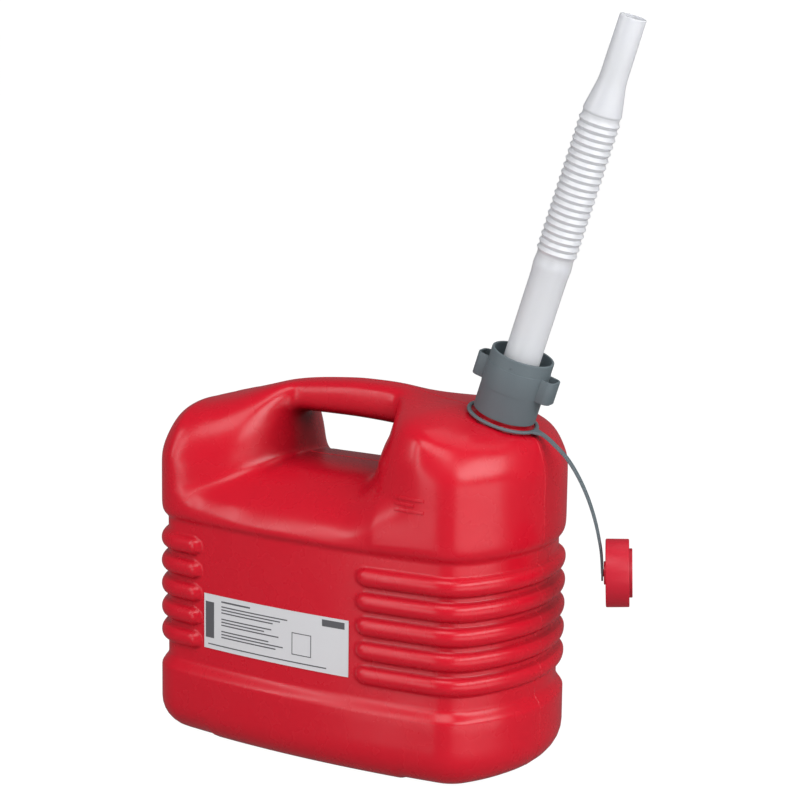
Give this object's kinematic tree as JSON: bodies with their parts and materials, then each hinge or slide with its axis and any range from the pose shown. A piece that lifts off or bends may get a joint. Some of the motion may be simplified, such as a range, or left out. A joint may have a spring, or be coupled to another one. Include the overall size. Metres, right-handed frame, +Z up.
{
  "type": "plastic fuel can",
  "caption": "Blow-moulded fuel can with a carrying handle, ribbed ends, a tilted neck, a screw nut holding a flexible bellows spout, and a cap on a strap.",
  "frame": {"origin": "middle of the can's footprint, on the surface it stands on", "axes": "+X along the can's length towards the neck end, -Y the label side, +Z up"},
  "size_m": [0.3824, 0.176, 0.5453],
  "materials": {
    "red_polyethylene": "satin moulded polyethylene",
    "label_film": "semi-matt film",
    "grey_nut_plastic": "satin moulded",
    "natural_polyethylene": "milky, slightly translucent",
    "gasket_rubber": "matt",
    "red_cap_plastic": "satin moulded",
    "seal_foam": "matt foam"
  },
  "bodies": {
    "can": {"can_body": "red_polyethylene", "label": "label_film"},
    "spout": {"spout_tube": "natural_polyethylene", "spout_gasket": "gasket_rubber", "spout_bellows_1": "natural_polyethylene"},
    "bellows_low": {"spout_bellows_2": "natural_polyethylene"},
    "bellows_middle": {"spout_bellows_3": "natural_polyethylene"},
    "bellows_high": {"spout_bellows_4": "natural_polyethylene"},
    "nozzle": {"spout_nozzle": "natural_polyethylene"},
    "nut": {"union_nut": "grey_nut_plastic"},
    "ring": {"tether_ring": "grey_nut_plastic"},
    "strap": {"tether_strap": "grey_nut_plastic"},
    "cap": {"screw_cap": "red_cap_plastic", "cap_seal": "seal_foam"}
  },
  "joints": [
    {"name": "spout_lift", "type": "slide", "parent": "can", "child": "spout", "axis": [0.3173, 0, 0.9483], "range_m": [0, 0.012]},
    {"name": "nut_turn", "type": "hinge", "parent": "spout", "child": "nut", "pos_m": [0.12168, 0, 0.26216], "axis": [0.3173, 0, 0.9483], "range_deg": [0, 1080]},
    {"name": "spout_bend_1", "type": "hinge", "parent": "spout", "child": "bellows_low", "pos_m": [0.16413, 0, 0.38905], "axis": [0, 1, 0], "range_deg": [-20, 20], "stiffness_Nm_per_rad": 0.6, "deforming": ["spout_bellows_1"]},
    {"name": "spout_bend_2", "type": "hinge", "parent": "bellows_low", "child": "bellows_middle", "pos_m": [0.17256, 0, 0.41425], "axis": [0, 1, 0], "range_deg": [-20, 20], "stiffness_Nm_per_rad": 0.6, "deforming": ["spout_bellows_2"]},
    {"name": "spout_bend_3", "type": "hinge", "parent": "bellows_middle", "child": "bellows_high", "pos_m": [0.18058, 0, 0.4382], "axis": [0, 1, 0], "range_deg": [-20, 20], "stiffness_Nm_per_rad": 0.6, "deforming": ["spout_bellows_3"]},
    {"name": "spout_bend_4", "type": "hinge", "parent": "bellows_high", "child": "nozzle", "pos_m": [0.18901, 0, 0.4634], "axis": [0, 1, 0], "range_deg": [-20, 20], "stiffness_Nm_per_rad": 0.6, "deforming": ["spout_bellows_4"]},
    {"name": "tether_swivel", "type": "hinge", "parent": "can", "child": "ring", "pos_m": [0.12168, 0, 0.26216], "axis": [0.3173, 0, 0.9483], "range_deg": [-38, 21]},
    {"name": "strap_flex", "type": "hinge", "parent": "ring", "child": "strap", "pos_m": [0.15062, 0.00475, 0.24894], "axis": [-0.1564, 0.9877, 0], "range_deg": [-55, 8], "stiffness_Nm_per_rad": 0.3},
    {"name": "cap_spin", "type": "hinge", "parent": "strap", "child": "cap", "pos_m": [0.19734, 0.01215, 0.15354], "axis": [0.8865, 0.4615, 0.0349], "continuous": true}
  ],
  "couplings": [
    {"joint": "spout_lift", "follows": "nut_turn", "m_per_rad": 0.00063662},
    {"joint": "spout_bend_2", "follows": "spout_bend_1", "ratio": 1},
    {"joint": "spout_bend_3", "follows": "spout_bend_1", "ratio": 1},
    {"joint": "spout_bend_4", "follows": "spout_bend_1", "ratio": 1}
  ]
}
